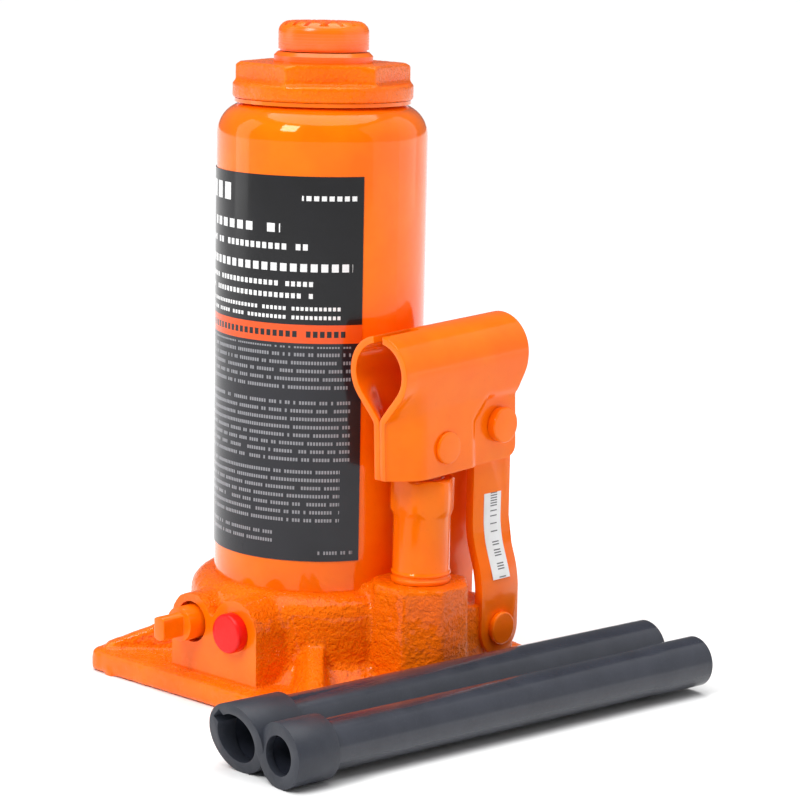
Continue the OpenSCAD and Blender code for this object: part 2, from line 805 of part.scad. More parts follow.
module link_label() {
    label_w = 8.2;
    sticker_t = 0.15;
    color("white") translate([pump_x, link_y + 0.4, 0])
        translate([0, label_w / 2, 0]) rotate([90, 0, 0]) linear_extrude(height = label_w)
            intersection() {
                link_sheet(link_in + link_t, sticker_t, 0, link_high_z);
                translate([0, 38.4]) square([40, 27.8]);
            }
}

// ---------- valves ----------

module release_valve() {
    tang_y = boss_y - 5.5;
    tang_len = 8.5;
    tang_t = 4.8;
    tang_r = 3.9;
    color(paint) difference() {
        union() {
            along_y(release_x, tang_y, release_z, release_stem_r, 15.5);
            along_y(release_x, boss_y + 9, release_z, release_thread_r, 8);
            intersection() {
                along_y(release_x, tang_y - tang_len, release_z, tang_r, tang_len + 1);
                translate([release_x - tang_t / 2, tang_y - tang_len, release_z - 8])
                    cube([tang_t, tang_len + 1, 16]);
            }
            translate([release_x, boss_y + 17, release_z]) rotate([-90, 0, 0])
                cylinder(r1 = 3, r2 = 1.2, h = 2.4 - running);
        }
        translate([release_x, boss_y + 5.5, release_z]) rotate([-90, 0, 0])
            ring(release_stem_r + 1, release_stem_r - 1.3, 2);
    }
}

module release_valve_oring() {
    color(rubber) translate([release_x, boss_y + 5.5, release_z]) rotate([-90, 0, 0])
        ring(release_stem_r, release_stem_r - 1.3, 2);
}

module release_ball() {
    color(steel) translate([release_x, boss_y + 19.4 + small_ball_r, release_z])
        sphere(r = small_ball_r);
}

module suction_ball() {
    color(steel) translate([pump_x, 0, 13.5 + ball_r]) sphere(r = ball_r);
}

module delivery_ball() {
    color(steel) translate([10, 0, 9.5 + ball_r]) sphere(r = ball_r);
}

module relief_ball() {
    color(steel) translate([relief_x, relief_ball_y, relief_z]) sphere(r = small_ball_r);
}

module relief_cone() {
    rim_r = cap_shank_r - 0.4;
    color(steel) translate([relief_x, relief_ball_y - small_ball_r - cone_len, relief_z])
        rotate([-90, 0, 0]) rotate_extrude() polygon([
            [0, -cone_r], [cone_r, -cone_r], [cone_r, 0], [rim_r, 0],
            [rim_r, 1.6], [1.2, cone_len], [0, cone_len]
        ]);
}

// One closed wire, swept along a helix
module relief_spring() {
    turns = 4.5;
    steps = 64;
    sides = 6;
    lift = spring_len - spring_wire_r;
    points = [for (i = [0 : steps], j = [0 : sides - 1])
        let (a = 360 * turns * i / steps, b = 360 * j / sides,
             r = spring_r + spring_wire_r * cos(b))
        [r * cos(a), r * sin(a), lift * i / steps + spring_wire_r * sin(b)]];
    walls = [for (i = [0 : steps - 1], j = [0 : sides - 1])
        [i * sides + j, (i + 1) * sides + j,
         (i + 1) * sides + (j + 1) % sides, i * sides + (j + 1) % sides]];
    first = [for (j = [0 : sides - 1]) j];
    last = [for (j = [sides - 1 : -1 : 0]) steps * sides + j];
    color(steel) translate([relief_x, spring_y + spring_wire_r, relief_z]) rotate([-90, 0, 0])
        polyhedron(points = points, faces = concat([first], walls, [last]));
}

module relief_adjuster() {
    color(steel) difference() {
        along_y(relief_x, spring_y - adjuster_len, relief_z, cap_shank_r, adjuster_len - running);
        translate([relief_x, spring_y - adjuster_len - 1, relief_z]) rotate([-90, 0, 0])
            cylinder(r = adjuster_key_r, h = 4, $fn = 6);
    }
}

module relief_cap() {
    color([0.85, 0.06, 0.06]) {
        along_y(relief_x, boss_y, relief_z, cap_shank_r, cap_shank_len);
        translate([relief_x, boss_y, relief_z]) rotate([90, 0, 0]) rotate_extrude() union() {
            square([cap_r, 2.9]);
            square([cap_r - 1, 3.9]);
            translate([cap_r - 1, 2.9]) circle(r = 1);
        }
    }
}

// ---------- handle ----------

module handle_keeper() {
    color(slate) at_handle() difference() {
        union() {
            difference() {
                translate([0, -large_collar_r, -keeper_slant_h])
                    cylinder(r = large_collar_r, h = keeper_len + keeper_slant_h + keeper_step);
                translate([0, -large_collar_r, 0]) rotate([keeper_slant, -keeper_turn, 0])
                    translate([0, 0, -10]) cube([40, 40, 20], center = true);
            }
            translate([small_x, -small_collar_r, keeper_small_z])
                cylinder(r = small_collar_r, h = keeper_len - keeper_small_z);
        }
        translate([0, -large_collar_r, 0]) {
            translate([0, 0, -10])
                cylinder(r = large_tube_r - tube_wall - keeper_lip_in, h = keeper_len + 11);
            translate([0, 0, large_seat_z]) cylinder(r = large_tube_r + running, h = keeper_len);
            rotate([0, 0, -135])
                translate([large_tube_r - tube_wall - 3, -keeper_notch_w / 2, -10])
                cube([4.4, keeper_notch_w, large_seat_z + 10.5]);
        }
        translate([small_x, -small_collar_r, -1]) {
            cylinder(r = small_tube_r - tube_wall - keeper_lip_in, h = keeper_len + 2);
            translate([0, 0, 1 + small_seat_z]) cylinder(r = small_tube_r + running, h = keeper_len);
        }
    }
}

module handle_tube_large() {
    color(slate) at_handle() translate([0, -large_collar_r, large_seat_z])
        ring(large_tube_r, large_tube_r - tube_wall, large_tube_len);
}

// Its far end is flared
module handle_tube_small() {
    inner = small_tube_r - tube_wall;
    straight = small_tube_len - flare_len;
    color(slate) at_handle() translate([small_x, -small_collar_r, small_seat_z])
        rotate_extrude() polygon([
            [inner, 0], [small_tube_r, 0], [small_tube_r, straight],
            [small_tube_r + flare_out, straight + 8], [small_tube_r + flare_out, small_tube_len],
            [inner + flare_out, small_tube_len], [inner + flare_out, straight + 8], [inner, straight]
        ]);
}

// ---------- drawing ----------

base();
reservoir();
reservoir_label();
lower_gasket();
upper_gasket();
filler_plug();
pressure_cylinder();
cylinder_gasket();
top_nut();
ram_wiper();
ram();
piston_bush();
piston_cup();
cup_washer();
piston_nut();
extension_screw();
screw_stop_ring();
pump_cylinder();
pump_washer();
pump_plunger();
plunger_seal();
plunger_seal_backup();
handle_socket();
plunger_pin();
link_upper_pin();
link_lower_pin();
link_plate_outer();
link_plate_inner();
link_label();
release_valve();
release_valve_oring();
release_ball();
suction_ball();
delivery_ball();
relief_ball();
relief_cone();
relief_spring();
relief_adjuster();
relief_cap();
handle_keeper();
handle_tube_large();
handle_tube_small();
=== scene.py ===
import json
import math

import bmesh
import bpy
from mathutils import Matrix, Vector

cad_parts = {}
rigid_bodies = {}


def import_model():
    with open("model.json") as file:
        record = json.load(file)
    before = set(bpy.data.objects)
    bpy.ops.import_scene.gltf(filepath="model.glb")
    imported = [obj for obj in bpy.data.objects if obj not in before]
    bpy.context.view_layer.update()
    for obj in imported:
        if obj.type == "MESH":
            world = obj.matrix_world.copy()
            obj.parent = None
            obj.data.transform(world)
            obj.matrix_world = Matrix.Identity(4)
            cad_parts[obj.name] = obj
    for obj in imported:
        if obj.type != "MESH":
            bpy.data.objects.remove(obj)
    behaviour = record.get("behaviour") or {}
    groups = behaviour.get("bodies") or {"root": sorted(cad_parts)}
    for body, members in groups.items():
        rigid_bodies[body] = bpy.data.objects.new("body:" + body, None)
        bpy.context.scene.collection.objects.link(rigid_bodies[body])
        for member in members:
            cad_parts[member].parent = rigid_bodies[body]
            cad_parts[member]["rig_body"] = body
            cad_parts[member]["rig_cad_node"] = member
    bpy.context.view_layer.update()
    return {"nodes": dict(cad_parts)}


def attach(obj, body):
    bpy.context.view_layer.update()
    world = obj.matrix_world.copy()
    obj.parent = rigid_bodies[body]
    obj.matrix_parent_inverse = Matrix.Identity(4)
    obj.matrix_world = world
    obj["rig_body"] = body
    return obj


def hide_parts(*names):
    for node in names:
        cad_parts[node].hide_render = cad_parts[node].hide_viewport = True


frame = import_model()
NODES = frame["nodes"]
MM = 0.001

# Sizes of the jack, in millimetres and degrees, in the frame of the CAD model
RESERVOIR_R = 34.1
BASE_W = 108.0
PUMP_X = 47.0
LINK_Y = 26.0
LINK_LOW_Z = 22.0
PLUNGER_PIN_Z = 85.0
SOCKET_TILT = 2.5
RELEASE_AT = (-8.0, 24.6)
RELIEF_AT = (12.0, 25.0)
BOSS_FACE_Y = -49.0
BENT_PIECES = ("link_plate_outer", "link_plate_inner", "link_label")
BEND_R = 5.0

# Sides of a bar that shows as round
ROUND = 96


# ---------- bench: selecting, adding and finishing pieces ----------

def put_down():
    """Back to object mode with nothing selected."""
    if bpy.context.object and bpy.context.object.mode != "OBJECT":
        bpy.ops.object.mode_set(mode="OBJECT")
    bpy.ops.object.select_all(action="DESELECT")


def pick(piece):
    put_down()
    piece.select_set(True)
    bpy.context.view_layer.objects.active = piece
    return piece


def seat(piece):
    """Leaves the piece's place in its mesh, with its object at the origin."""
    pick(piece)
    bpy.ops.object.transform_apply(location=True, rotation=True, scale=True)
    return piece


def named(piece, name):
    piece.name = name
    piece.data.name = name
    return piece


def block(name, size, at):
    put_down()
    bpy.ops.mesh.primitive_cube_add(size=1, location=Vector(at) * MM, scale=Vector(size) * MM)
    return seat(named(bpy.context.object, name))


def rod(name, r, depth, at, axis="Z", sides=ROUND, turn=0.0):
    """A solid round or many-sided bar, centred on a point. Only a bar along Z takes a turn."""
    turns = {"Z": (0, 0, turn), "X": (0, math.pi / 2, 0), "Y": (math.pi / 2, 0, 0)}
    put_down()
    bpy.ops.mesh.primitive_cylinder_add(vertices=sides, radius=r * MM, depth=depth * MM,
                                        location=Vector(at) * MM, rotation=turns[axis])
    return seat(named(bpy.context.object, name))


def cone(name, r_low, r_high, depth, at):
    put_down()
    bpy.ops.mesh.primitive_cone_add(vertices=ROUND, radius1=r_low * MM, radius2=r_high * MM,
                                    depth=depth * MM, location=Vector(at) * MM)
    return seat(named(bpy.context.object, name))


def modify(piece, kind, **settings):
    pick(piece)
    modifier = piece.modifiers.new(kind.lower(), kind)
    for setting, value in settings.items():
        setattr(modifier, setting, value)
    bpy.ops.object.modifier_apply(modifier=modifier.name)
    return piece


def scrap(*pieces):
    for piece in pieces:
        bpy.data.objects.remove(piece)


def cut(piece, *tools):
    for tool in tools:
        modify(piece, "BOOLEAN", operation="DIFFERENCE", solver="EXACT", object=tool)
    scrap(*tools)
    return piece


def keep_within(piece, tool):
    modify(piece, "BOOLEAN", operation="INTERSECT", solver="EXACT", object=tool)
    scrap(tool)
    return piece


def gather(piece, *others):
    """Joins overlapping solids into one object, before they are melted together."""
    pick(piece)
    for other in others:
        other.select_set(True)
    bpy.ops.object.join()
    return piece


def edit_edges(piece, wanted, act):
    """Selects the edges that a test picks, and runs an edit-mode operator on them."""
    pick(piece)
    bpy.ops.object.mode_set(mode="EDIT")
    bpy.ops.mesh.select_mode(type="EDGE")
    bpy.ops.mesh.select_all(action="DESELECT")
    mesh = bmesh.from_edit_mesh(piece.data)
    for edge in mesh.edges:
        edge.select_set(wanted(edge))
    bmesh.update_edit_mesh(piece.data)
    act()
    bpy.ops.object.mode_set(mode="OBJECT")
    return piece


def round_edges(piece, wanted, width, segments):
    return edit_edges(piece, wanted, lambda: bpy.ops.mesh.bevel(
        offset=width * MM, segments=segments, profile=0.5, affect="EDGES"))


def upright(edge):
    a, b = (v.co for v in edge.verts)
    return abs((a - b).normalized().z) > 0.99


def at_height(z):
    return lambda edge: all(abs(v.co.z / MM - z) < 0.01 for v in edge.verts)


def across_sheet(edge):
    """One of the creases across a link plate, where the sheet steps outwards."""
    a, b = (v.co for v in edge.verts)
    return (abs((a - b).normalized().y) > 0.98 and len(edge.link_faces) == 2
            and math.radians(5) < edge.calc_face_angle(0.0) < math.radians(40))


def cast(piece, voxel, rounds, rough, grain):
    """Melts overlapping solids into one casting with soft inside corners and a sandy skin.

    voxel is the size of the new faces, rounds how often they are smoothed, rough the height
    of the skin and grain its width, all but rounds in millimetres."""
    modify(piece, "REMESH", mode="VOXEL", voxel_size=voxel * MM, use_smooth_shade=True)
    modify(piece, "SMOOTH", factor=0.5, iterations=rounds)
    skin = bpy.data.textures.new(piece.name + "_skin", "CLOUDS")
    skin.noise_scale = grain * MM
    skin.noise_depth = 3
    modify(piece, "DISPLACE", texture=skin, texture_coords="LOCAL", strength=rough * MM, mid_level=0.5)
    return piece


def softened(node, width):
    """A copy of a CAD piece, with the bends of the bent ones rounded and all sharp edges broken."""
    put_down()
    source = NODES[node]
    source.select_set(True)
    bpy.context.view_layer.objects.active = source
    bpy.ops.object.duplicate()
    piece = named(bpy.context.object, node + "_made")
    piece.parent = None
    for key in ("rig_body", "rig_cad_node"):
        del piece[key]
    piece.data.materials.clear()
    pick(piece)
    bpy.ops.object.mode_set(mode="EDIT")
    bpy.ops.mesh.select_all(action="SELECT")
    bpy.ops.mesh.customdata_custom_splitnormals_clear()
    bpy.ops.mesh.remove_doubles(threshold=0.002 * MM)
    bpy.ops.mesh.dissolve_limited(angle_limit=math.radians(0.5))
    bpy.ops.object.mode_set(mode="OBJECT")
    if node in BENT_PIECES:
        round_edges(piece, across_sheet, BEND_R, 5)
    modify(piece, "BEVEL", width=width * MM, segments=2, limit_method="ANGLE",
           angle_limit=math.radians(35), use_clamp_overlap=True, harden_normals=False)
    smooth(piece, 40)
    return piece


def smooth(piece, angle):
    pick(piece)
    bpy.ops.object.shade_smooth_by_angle(angle=math.radians(angle))
    return piece


def fit(piece, material, body, slot, *nodes):
    """Paints a new piece, puts it on its body and takes away the CAD nodes that it stands for."""
    piece.data.materials.clear()
    piece.data.materials.append(material)
    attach(piece, body)
    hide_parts(*nodes)
    return piece


# ---------- finishes ----------

class Finish:
    """A node material on Object coordinates."""

    def __init__(self, name):
        self.material = bpy.data.materials.new(name)
        self.material.use_nodes = True
        self.tree = self.material.node_tree
        self.shader = self.tree.nodes["Principled BSDF"]
        self.place = self.add("ShaderNodeTexCoord").outputs["Object"]

    def add(self, kind, **settings):
        node = self.tree.nodes.new(kind)
        for setting, value in settings.items():
            setattr(node, setting, value)
        return node

    def wire(self, source, target):
        if isinstance(source, bpy.types.NodeSocket):
            self.tree.links.new(source, target)
        else:
            target.default_value = source

    def calc(self, operation, *values):
        node = self.add("ShaderNodeMath", operation=operation)
        for value, socket in zip(values, node.inputs):
            self.wire(value, socket)
        return node.outputs[0]

    def both(self, a, b):
        return self.calc("MULTIPLY", a, b)

    def either(self, a, b):
        return self.calc("MAXIMUM", a, b)

    def inside(self, value, low, high):
        return self.both(self.calc("GREATER_THAN", value, low), self.calc("LESS_THAN", value, high))

    def axes(self):
        """The X, Y and Z of a point of the surface, in metres."""
        node = self.add("ShaderNodeSeparateXYZ")
        self.wire(self.place, node.inputs[0])
        return tuple(node.outputs)

    def noise(self, size_mm, detail):
        node = self.add("ShaderNodeTexNoise")
        node.inputs["Scale"].default_value = 1000.0 / size_mm
        node.inputs["Detail"].default_value = detail
        node.inputs["Roughness"].default_value = 0.55
        self.wire(self.place, node.inputs["Vector"])
        return node.outputs["Fac"]

    def between(self, value, low, high, to_low=0.0, to_high=1.0):
        node = self.add("ShaderNodeMapRange")
        ends = ("From Min", "From Max", "To Min", "To Max")
        for socket, number in zip(ends, (low, high, to_low, to_high)):
            node.inputs[socket].default_value = number
        self.wire(value, node.inputs["Value"])
        return node.outputs["Result"]

    def mix(self, share, a, b):
        node = self.add("ShaderNodeMix", data_type="RGBA")
        colours = [s for s in node.inputs if s.type == "RGBA"]
        self.wire(share, node.inputs["Factor"])
        for colour, socket in zip((a, b), colours):
            self.wire(colour if isinstance(colour, bpy.types.NodeSocket) else (*colour, 1.0), socket)
        return [s for s in node.outputs if s.type == "RGBA"][0]

    def bump(self, height, distance_mm, under=None):
        node = self.add("ShaderNodeBump")
        node.inputs["Strength"].default_value = 1.0
        node.inputs["Distance"].default_value = distance_mm * MM
        self.wire(height, node.inputs["Height"])
        if under:
            self.wire(under, node.inputs["Normal"])
        return node.outputs["Normal"]

    def set(self, **values):
        for socket, value in values.items():
            name = socket.replace("_", " ")
            if isinstance(value, tuple) and len(value) == 3:
                value = (*value, 1.0)
            self.wire(value, self.shader.inputs[name])
        return self


ORANGE = (1.0, 0.180, 0.0006)
ORANGE_DEEP = (0.97, 0.140, 0.0004)
ORANGE_SHEEN = (1.0, 0.36, 0.04, 1.0)


def orange_patches(f):
    """The paint's two oranges, in soft patches."""
    return f.mix(f.between(f.noise(24, 3), 0.35, 0.65), ORANGE_DEEP, ORANGE)


def enamel(name, rough_low, rough_high, skin, coat, machined=False):
    """Orange enamel. skin lists the (size, depth) of each bump under the paint, in millimetres.

    A machined casting has flat valve bosses and a flat rim, where the sand grain is gone."""
    f = Finish(name)
    colour = orange_patches(f)
    dust = f.between(f.noise(1.6, 2), 0.62, 0.78, 0.0, 0.16)
    colour = f.mix(dust, colour, tuple(0.72 * c for c in ORANGE_DEEP))
    grain = 1.0
    if machined:
        y, z = f.axes()[1:]
        behind_bosses = f.calc("GREATER_THAN", y, (BOSS_FACE_Y + 0.1) * MM)
        off_rim = f.calc("LESS_THAN", f.calc("ABSOLUTE", y), (BASE_W / 2 - 0.7) * MM)
        on_plate = f.calc("LESS_THAN", z, 8.4 * MM)
        grain = f.both(f.either(behind_bosses, on_plate), off_rim)
    normal = None
    for size, depth in skin:
        height = f.both(f.noise(size, 3), grain)
        normal = f.bump(height, depth, normal)
    f.set(Base_Color=colour, Roughness=f.between(f.noise(9, 4), 0.3, 0.7, rough_low, rough_high),
          Normal=normal, Specular_Tint=ORANGE_SHEEN, Coat_Weight=coat, Coat_Roughness=0.04)
    return f.material


cast_enamel = enamel("cast_enamel", 0.20, 0.32, ((3.2, 0.9), (1.3, 1.0), (0.6, 0.35)), 0.30,
                     machined=True)
nut_enamel = enamel("nut_enamel", 0.20, 0.30, ((1.5, 0.6), (0.6, 0.3)), 0.28)
smooth_enamel = enamel("smooth_enamel", 0.10, 0.16, ((3.0, 0.012), (0.8, 0.003)), 0.42)
sheet_enamel = enamel("sheet_enamel", 0.17, 0.26, ((3.5, 0.06), (0.9, 0.02)), 0.28)


def satin(name, dark, light, rough_low, rough_high, skin, metallic=0.0, grain_mm=0.7, **extra):
    """A moulded, coated or turned surface with a fine grain.

    skin lists the (size, depth) of each bump, in millimetres."""
    f = Finish(name)
    colour = f.mix(f.between(f.noise(14, 3), 0.35, 0.65), dark, light)
    specks = f.between(f.noise(grain_mm, 2), 0.55, 0.8, 0.0, 0.25)
    colour = f.mix(specks, colour, tuple(1.6 * c for c in light))
    normal = None
    for size, depth in skin:
        normal = f.bump(f.noise(size, 3), depth, normal)
    f.set(Base_Color=colour, Roughness=f.between(f.noise(6, 4), 0.3, 0.7, rough_low, rough_high),
          Normal=normal, Metallic=metallic, **extra)
    return f.material


slate_coat = satin("slate_coat", (0.022, 0.025, 0.036), (0.030, 0.034, 0.048), 0.17, 0.25,
                   ((3.0, 0.03), (0.6, 0.008)), 0.0, 0.6, Specular_IOR_Level=0.35, Coat_Weight=0.3,
                   Coat_Roughness=0.10)
slate_moulding = satin("slate_moulding", (0.024, 0.027, 0.037), (0.032, 0.036, 0.048), 0.38, 0.50,
                       ((0.8, 0.04),), 0.0, 0.5, Specular_IOR_Level=0.35)
red_cap = satin("red_cap", (0.82, 0.004, 0.003), (0.92, 0.006, 0.005), 0.28, 0.42, ((2.2, 0.10), (0.7, 0.04)),
                0.0, 1.2, Specular_IOR_Level=0.3)
black_rubber = satin("black_rubber", (0.012, 0.012, 0.013), (0.022, 0.022, 0.024), 0.55, 0.75, ((0.9, 0.05),))
white_nylon = satin("white_nylon", (0.68, 0.68, 0.64), (0.78, 0.78, 0.74), 0.4, 0.55, ((1.2, 0.02),))
red_copper = satin("red_copper", (0.62, 0.26, 0.14), (0.74, 0.34, 0.19), 0.25, 0.4, ((0.8, 0.02),), 1.0)
turned_bronze = satin("turned_bronze", (0.50, 0.33, 0.13), (0.62, 0.43, 0.19), 0.25, 0.4, ((0.8, 0.02),), 1.0)


def turned_steel(name, paint_from=None):
    """Ground steel with fine turning rings along Z. With paint_from, it is orange above that height."""
    f = Finish(name)
    z = f.axes()[2]
    line = f.add("ShaderNodeTexNoise", noise_dimensions="1D")
    line.inputs["Scale"].default_value = 1.0
    line.inputs["Detail"].default_value = 4.0
    f.wire(f.calc("MULTIPLY", z, 2000.0), line.inputs["W"])
    colour = f.mix(f.between(f.noise(10, 3), 0.3, 0.7), (0.46, 0.47, 0.49), (0.60, 0.61, 0.63))
    bare = 1.0
    if paint_from is not None:
        edge = f.calc("ADD", z, f.calc("MULTIPLY", f.noise(3, 3), 0.6 * MM))
        painted = f.calc("GREATER_THAN", edge, (paint_from + 0.3) * MM)
        bare = f.calc("SUBTRACT", 1.0, painted)
        colour = f.mix(painted, colour, orange_patches(f))
    f.set(Base_Color=colour, Metallic=bare, Roughness=f.between(line.outputs["Fac"], 0.3, 0.7, 0.16, 0.32),
          Normal=f.bump(line.outputs["Fac"], 0.004))
    return f.material


steel = turned_steel("turned_steel")
ram_steel = turned_steel("ram_steel", 202.6)
screw_steel = turned_steel("screw_steel", 206.3)
plunger_steel = turned_steel("plunger_steel", 73.0)


def printed_film():
    """The reservoir's film: a black head, an orange band and a charcoal body, with plain dashes."""
    f = Finish("printed_film")
    x, y, z = f.axes()
    round_mm = f.calc("MULTIPLY", f.calc("ARCTAN2", x, f.calc("MULTIPLY", y, -1.0)), RESERVOIR_R)
    up_mm = f.calc("MULTIPLY", z, 1000.0)

    def dashes(low, high, left, right, step, cell, gap, seed):
        """Rows of dashes, from low to high and from left to right, one row to each step.

        A dash fills part of a cell, and gap is the share of cells left empty."""
        rows = f.calc("DIVIDE", f.calc("SUBTRACT", up_mm, low), step)
        row = f.calc("FLOOR", rows)
        share = f.calc("FRACT", rows)
        spot = f.add("ShaderNodeCombineXYZ")
        f.wire(f.calc("FLOOR", f.calc("DIVIDE", round_mm, cell)), spot.inputs[0])
        f.wire(row, spot.inputs[1])
        spot.inputs[2].default_value = seed
        dice = f.add("ShaderNodeTexWhiteNoise", noise_dimensions="3D")
        f.wire(spot.outputs[0], dice.inputs["Vector"])
        inner = f.calc("FRACT", f.calc("DIVIDE", round_mm, cell))
        dash = f.both(f.calc("GREATER_THAN", dice.outputs["Value"], gap), f.inside(inner, 0.12, 0.78))
        return f.both(f.both(dash, f.inside(share, 0.28, 0.70)),
                      f.both(f.inside(up_mm, low, high), f.inside(round_mm, left, right)))

    band_low, band_high = 116.6, 122.5
    light = None
    for rows in (
        (160.6, 164.2, 20.5, 38.2, 3.7, 2.4, 0.05, 1.0),     # small code, top right
        (156.5, 169.5, -26.0, -6.0, 13.0, 6.0, 0.05, 2.0),   # large mark
        (149.6, 156.2, -20.0, 13.5, 6.6, 4.2, 0.16, 3.0),
        (144.8, 149.4, -24.0, 22.9, 4.6, 2.3, 0.15, 4.0),
        (137.6, 143.6, -30.0, 36.8, 6.0, 3.3, 0.10, 5.0),
        (129.8, 137.3, -30.0, 24.6, 3.75, 1.9, 0.13, 6.0),
        (123.4, 129.0, -34.0, 33.4, 2.8, 1.45, 0.15, 7.0),
    ):
        print_here = dashes(*rows)
        light = print_here if light is None else f.either(light, print_here)
    small = None
    for low, high, left, right, seed in (
        (101.2, 115.6, -36.0, 36.6, 8.0),
        (77.9, 98.9, -36.0, 36.6, 9.0),
        (58.2, 76.0, -36.0, 33.5, 10.0),
        (51.0, 56.6, -36.0, 12.0, 11.0),
        (47.6, 50.0, 26.8, 38.0, 12.0),
    ):
        print_here = dashes(low, high, left, right, step=2.62, cell=0.92, gap=0.17, seed=seed)
        small = print_here if small is None else f.either(small, print_here)
    bold = dashes(117.2, 121.9, -36.0, 37.4, 4.7, 2.2, 0.10, 13.0)
    band = f.inside(up_mm, band_low, band_high)
    head = f.calc("GREATER_THAN", up_mm, band_high)
    ground = f.mix(head, (0.014, 0.014, 0.019), (0.003, 0.003, 0.004))
    ground = f.mix(f.between(f.noise(11, 3), 0.35, 0.7, 0.0, 0.4), ground, (0.008, 0.008, 0.011))
    colour = f.mix(band, ground, (0.80, 0.085, 0.006))
    colour = f.mix(f.both(band, bold), colour, (0.010, 0.009, 0.010))
    colour = f.mix(light, colour, (0.80, 0.80, 0.80))
    colour = f.mix(small, colour, (0.26, 0.26, 0.28))
    f.set(Base_Color=colour, Roughness=f.between(f.noise(8, 4), 0.3, 0.7, 0.14, 0.22),
          Normal=f.bump(f.noise(2.4, 2), 0.012), Specular_IOR_Level=0.3, Coat_Weight=0.12,
          Coat_Roughness=0.05)
    return f.material


def sticker_film():
    """The link's white sticker, with a stack of fine grey bars."""
    f = Finish("sticker_film")
    y, z = f.axes()[1:]
    y_mm = f.calc("MULTIPLY", y, 1000.0)
    z_mm = f.calc("MULTIPLY", z, 1000.0)
    cell = f.calc("DIVIDE", z_mm, 0.85)
    dice = f.add("ShaderNodeTexWhiteNoise", noise_dimensions="1D")
    f.wire(f.calc("FLOOR", cell), dice.inputs["W"])
    bar = f.both(f.calc("GREATER_THAN", f.calc("FRACT", cell), 0.55),
                 f.calc("GREATER_THAN", dice.outputs["Value"], 0.35))
    across = f.calc("LESS_THAN", f.calc("ABSOLUTE", f.calc("SUBTRACT", y_mm, 27.0)), 1.6)
    mark = f.both(bar, across)
    paper = f.mix(f.between(f.noise(5, 3), 0.4, 0.7), (0.80, 0.80, 0.80), (0.86, 0.86, 0.87))
    f.set(Base_Color=f.mix(mark, paper, (0.10, 0.10, 0.11)), Roughness=0.35,
          Normal=f.bump(f.noise(3, 2), 0.01))
    return f.material


film = printed_film()
sticker = sticker_film()


# ---------- base casting ----------

def make_base():
    plate = block("base_casting", (107.6, 107.6, 7.6), (0, 0, 3.85))
    round_edges(plate, upright, 3.5, 5)
    round_edges(plate, at_height(7.65), 1.6, 3)
    tower_top = 36.0
    tower = rod("tower", 41.7, tower_top, (0, 0, tower_top / 2), sides=128)
    round_edges(tower, at_height(tower_top), 7.0, 6)
    parts = [tower, cone("skirt", 47.5, 41.2, 7.0, (0, 0, 10.5))]
    for sx in (-1, 1):
        for sy in (-1, 1):
            parts.append(make_rib(sx, sy))
    (release_x, release_z), (relief_x, relief_z) = RELEASE_AT, RELIEF_AT
    for x, z, r in ((release_x, release_z, 9.4), (relief_x, relief_z, 10.2)):
        parts.append(rod("arch", r, 27.0, (x, -36.5, z), "Y", 64))
        parts.append(block("arch_leg", (2 * r, 27.0, z), (x, -36.5, z / 2)))
    flat = math.radians(22.5)
    parts.append(rod("pump_boss", 15.0 / math.cos(flat), 40.3, (PUMP_X, 0, 20.15), "Z", 8, flat))
    parts.append(block("pump_neck", (18.0, 24.0, 38.5), (PUMP_X - 9.0, 0, 19.25)))
    lug_w = 20.6
    parts.append(rod("lug", 9.2, lug_w, (PUMP_X, LINK_Y, LINK_LOW_Z), "X", 48))
    parts.append(block("lug_leg", (lug_w, 35.0, LINK_LOW_Z), (PUMP_X, 17.5, LINK_LOW_Z / 2)))
    parts.append(block("lug_back", (lug_w, 26.0, 31.0), (PUMP_X, 13.0, 15.5)))
    gather(plate, *parts)
    cast(plate, voxel=0.95, rounds=4, rough=0.45, grain=2.6)
    # the flask trims the front, the back, the left and the underside
    keep_within(plate, block("flask", (BASE_W * 1.4, BASE_W, 80.0), (22.0, 0, 40.0)))
    cut(plate,
        block("boss_mill", (60.0, 5.0, 60.0), (0, BOSS_FACE_Y - 2.5, 38.5)),
        rod("reservoir_seat", 34.15, 60.0, (0, 0, 61.3), sides=128),
        rod("cylinder_seat", 22.05, 60.0, (0, 0, 46.0)),
        rod("pump_seat", 7.85, 40.0, (PUMP_X, 0, 40.8)),
        rod("valve_mouth", 6.7, 8.0, (release_x, BOSS_FACE_Y, release_z), "Y", 64),
        rod("valve_bore", 5.65, 22.0, (release_x, BOSS_FACE_Y - 1.0, release_z), "Y", 64),
        rod("relief_bore", 4.45, 42.0, (relief_x, BOSS_FACE_Y - 1.0, relief_z), "Y", 48),
        rod("pin_bore", 4.85, 60.0, (PUMP_X, LINK_Y, LINK_LOW_Z), "X", 64),
        block("slot", (5.0, 21.0, 40.0), (PUMP_X - 12.6, 25.8, 30.2)))
    smooth(plate, 40)
    return fit(plate, cast_enamel, "jack_body", "cast_paint", "base")


def make_rib(sx, sy):
    """A rib from the tower down to a corner of the plate: a block whose top is drawn in to a ridge."""
    top_at_tower, top_at_corner, corner_x = 31.0, 9.2, 70.0
    rib = block("rib", (62.0, 12.0, 16.0), (45.0, 0, 8.0))
    for v in rib.data.vertices:
        outer = v.co.x > 50 * MM
        if v.co.z > 10 * MM:
            v.co.z = (top_at_corner if outer else top_at_tower) * MM
            v.co.y *= 0.4
        elif outer:
            v.co.y *= 1.5
        if outer:
            v.co.x = corner_x * MM
    rib.rotation_euler = (0, 0, math.atan2(sy, sx))
    return seat(rib)


make_base()


# ---------- top nut ----------

